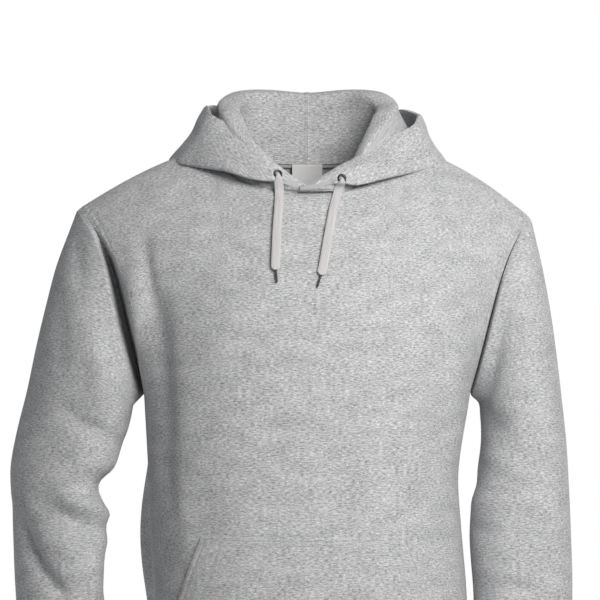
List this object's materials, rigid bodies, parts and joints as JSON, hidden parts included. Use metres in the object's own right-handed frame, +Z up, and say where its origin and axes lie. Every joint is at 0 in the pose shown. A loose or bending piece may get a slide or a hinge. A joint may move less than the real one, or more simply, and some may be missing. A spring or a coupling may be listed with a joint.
{
  "type": "pullover hoodie",
  "caption": "Hollow pullover hoodie with set-in sleeves, lined hood, flat drawcord, ribbed hem and cuffs, and a kangaroo pocket.",
  "frame": {"origin": "the place where the wearer's shoulders hold it, on the middle line, at the height of the neck ends of the shoulder seams and halfway between front and back", "axes": "+Z up towards the hood, -Y towards the front with the pocket and drawcord, +X towards the sleeve at the right as the front is looked at"},
  "size_m": [0.6594, 0.3215, 0.766],
  "materials": {
    "fleece": "matt, brushed",
    "rib": "matt, ribbed",
    "tape": "matt, woven",
    "label": "satin, woven",
    "eyelet": "dark nickel",
    "cord": "matt, braided"
  },
  "bodies": {
    "root": {"front": "fleece", "back": "fleece", "sleeve_left": "fleece", "sleeve_right": "fleece", "hood_left": "fleece", "hood_lining_left": "fleece", "hood_right": "fleece", "hood_lining_right": "fleece", "pocket": "fleece", "waistband": "rib", "cuff_left": "rib", "cuff_right": "rib", "eyelet_left": "eyelet", "eyelet_right": "eyelet", "drawcord_left": "cord", "drawcord_right": "cord", "neck_tape": "tape", "label": "label"}
  },
  "joints": []
}
